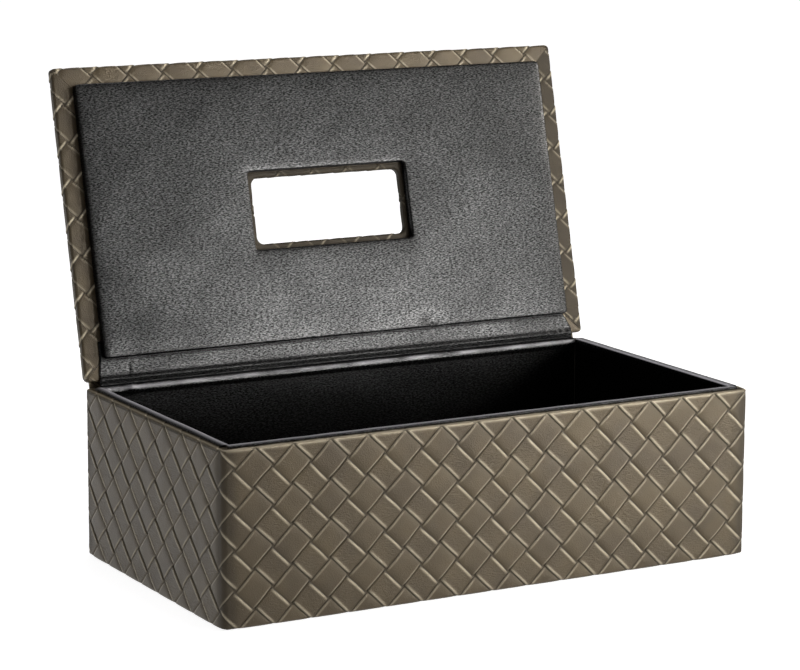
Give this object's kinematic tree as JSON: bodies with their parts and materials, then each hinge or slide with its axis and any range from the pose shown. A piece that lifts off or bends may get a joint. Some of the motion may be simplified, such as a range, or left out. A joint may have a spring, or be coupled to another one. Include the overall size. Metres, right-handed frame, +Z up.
{
  "type": "tissue box",
  "caption": "Rectangular leathercloth-covered tissue box with a black lining and a hinged lid that has a padded lining panel and a rectangular tissue slot.",
  "frame": {"origin": "centre of the base, on the surface that the box stands on", "axes": "+X along the box's length to the right, +Y to the back where the lid is hinged, +Z up"},
  "size_m": [0.26, 0.1753, 0.2144],
  "materials": {
    "wrap": "satin bronze-taupe leathercloth embossed with a diagonal basket weave",
    "lining": "fine-grained black leathercloth, satin",
    "base": "thin black base sheet, matt",
    "board": "dense grey board, raw",
    "card": "grey card, raw",
    "foam": "thin upholstery foam"
  },
  "bodies": {
    "box": {"front_board": "board", "back_board": "board", "left_board": "board", "right_board": "board", "floor_board": "board", "body_wrap": "wrap", "base_cover": "base", "front_lining_card": "card", "front_lining_cover": "lining", "left_lining_card": "card", "left_lining_cover": "lining", "right_lining_card": "card", "right_lining_cover": "lining", "back_lining_card": "card", "floor_lining_card": "card", "floor_lining_cover": "lining", "hinge_lining": "lining", "hinge_spine": "wrap"},
    "lid": {"lid_board": "board", "lid_wrap": "wrap", "panel_card": "card", "panel_foam": "foam", "panel_cover": "lining"}
  },
  "joints": [
    {"name": "lid_hinge", "type": "hinge", "parent": "box", "child": "lid", "pos_m": [0, 0.0694, 0.079], "axis": [1, 0, 0], "range_deg": [0, 104.2], "deforming": ["hinge_lining", "hinge_spine"]}
  ]
}
